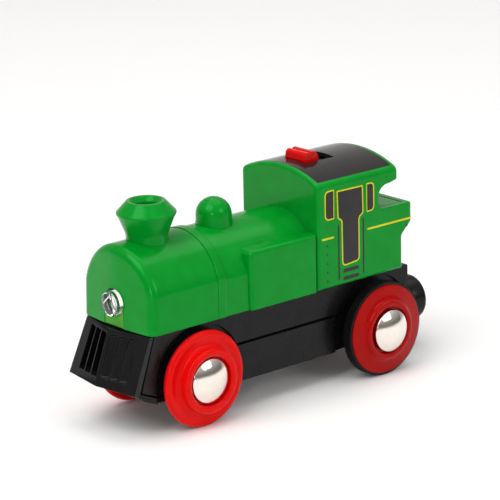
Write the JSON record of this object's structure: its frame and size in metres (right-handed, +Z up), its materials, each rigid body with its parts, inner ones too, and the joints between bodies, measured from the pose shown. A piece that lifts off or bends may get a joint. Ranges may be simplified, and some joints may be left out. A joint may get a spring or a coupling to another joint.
{
  "type": "toy steam locomotive",
  "caption": "Battery-driven toy steam locomotive for wooden track, with turning wheels, a geared rear axle, a sliding roof switch and a swivelling magnetic rear coupling.",
  "frame": {"origin": "centre of the bounding box in plan, on the plane the wheels stand on", "axes": "+X forward to the headlight, +Y to the left side, +Z up"},
  "size_m": [0.0958, 0.0374, 0.0532],
  "materials": {
    "green_plastic": "moulded, half gloss",
    "black_plastic": "moulded, satin",
    "red_plastic": "moulded, gloss",
    "red_wheel": "moulded, gloss, the rear ones duller",
    "tab_plastic": "moulded, lighter yellow-green",
    "clear_lens": "clear moulded plastic",
    "reflector_metal": "bright plated",
    "chrome_cap": "bright plated dome",
    "tyre_rubber": "ribbed black rubber",
    "steel": "plain bright steel",
    "motor_steel": "zinc plated can",
    "magnet_steel": "nickel plated magnet",
    "contact_brass": "plain spring brass",
    "battery_wrap": "printed sleeve without lettering",
    "board_laminate": "green solder mask",
    "gear_plastic": "natural moulded nylon",
    "wire_black": "soft black insulation",
    "wire_red": "soft red insulation"
  },
  "bodies": {
    "locomotive_body": {"smokebox_casing": "green_plastic", "boiler_casing": "green_plastic", "cab_casing": "green_plastic", "bunker_deck": "green_plastic", "chimney": "green_plastic", "steam_dome": "green_plastic", "headlight_lens": "clear_lens", "headlight_reflector": "reflector_metal", "headlight_led": "clear_lens", "headlight_tab": "tab_plastic", "cowcatcher": "black_plastic", "chassis_frame": "black_plastic", "chassis_tray": "black_plastic", "battery_door": "black_plastic", "casing_screw_front": "steel", "casing_screw_rear": "steel", "door_screw": "steel", "battery_aaa": "battery_wrap", "battery_contact_positive": "contact_brass", "battery_contact_negative": "contact_brass", "battery_spring_negative": "steel", "circuit_board": "board_laminate", "lamp_wire": "wire_black", "battery_wire_positive": "wire_red", "battery_wire_negative": "wire_black", "motor_wire_front": "wire_black", "motor_wire_rear": "wire_black", "idler_pin_lower": "steel", "idler_pin_upper": "steel", "motor": "motor_steel", "gearbox_frame": "gear_plastic", "coupling_pin": "steel"},
    "front_wheelset": {"front_axle": "steel", "front_wheel_left": "red_wheel", "front_wheel_right": "red_wheel", "front_hub_cap_left": "chrome_cap", "front_hub_cap_right": "chrome_cap"},
    "rear_wheelset": {"rear_axle": "steel", "rear_wheel_left": "red_wheel", "rear_wheel_right": "red_wheel", "rear_tyre_left": "tyre_rubber", "rear_tyre_right": "tyre_rubber", "rear_hub_cap_left": "chrome_cap", "rear_hub_cap_right": "chrome_cap", "axle_gear": "gear_plastic"},
    "lower_idler": {"idler_gear_lower": "gear_plastic"},
    "upper_idler": {"idler_gear_upper": "gear_plastic"},
    "motor_rotor": {"motor_shaft": "steel", "motor_pinion": "contact_brass"},
    "power_switch": {"switch_knob": "red_plastic", "switch_carrier": "black_plastic", "switch_wiper": "contact_brass"},
    "rear_coupling": {"coupling_arm": "black_plastic", "coupling_magnet": "magnet_steel"}
  },
  "joints": [
    {"name": "front_axle_spin", "type": "hinge", "parent": "locomotive_body", "child": "front_wheelset", "pos_m": [0.02728, 0, 0.011], "axis": [0, 1, 0], "continuous": true},
    {"name": "rear_axle_spin", "type": "hinge", "parent": "locomotive_body", "child": "rear_wheelset", "pos_m": [-0.02484, 0, 0.0111], "axis": [0, 1, 0], "continuous": true},
    {"name": "lower_idler_spin", "type": "hinge", "parent": "locomotive_body", "child": "lower_idler", "pos_m": [-0.02306, 0.00495, 0.01599], "axis": [0, 1, 0], "continuous": true},
    {"name": "upper_idler_spin", "type": "hinge", "parent": "locomotive_body", "child": "upper_idler", "pos_m": [-0.02393, 0.00665, 0.02091], "axis": [0, 1, 0], "continuous": true},
    {"name": "motor_rotor_spin", "type": "hinge", "parent": "locomotive_body", "child": "motor_rotor", "pos_m": [-0.02393, 0, 0.02651], "axis": [0, 1, 0], "continuous": true},
    {"name": "switch_slide", "type": "slide", "parent": "locomotive_body", "child": "power_switch", "axis": [1, 0, 0], "range_m": [-0.004, 0]},
    {"name": "coupling_swivel", "type": "hinge", "parent": "locomotive_body", "child": "rear_coupling", "pos_m": [-0.0326, 0, 0.0107], "axis": [0, 0, 1], "range_deg": [-12, 12]}
  ],
  "couplings": [
    {"joint": "lower_idler_spin", "follows": "rear_axle_spin", "ratio": -2.25},
    {"joint": "upper_idler_spin", "follows": "rear_axle_spin", "ratio": 4.7812},
    {"joint": "motor_rotor_spin", "follows": "rear_axle_spin", "ratio": -11.953}
  ]
}
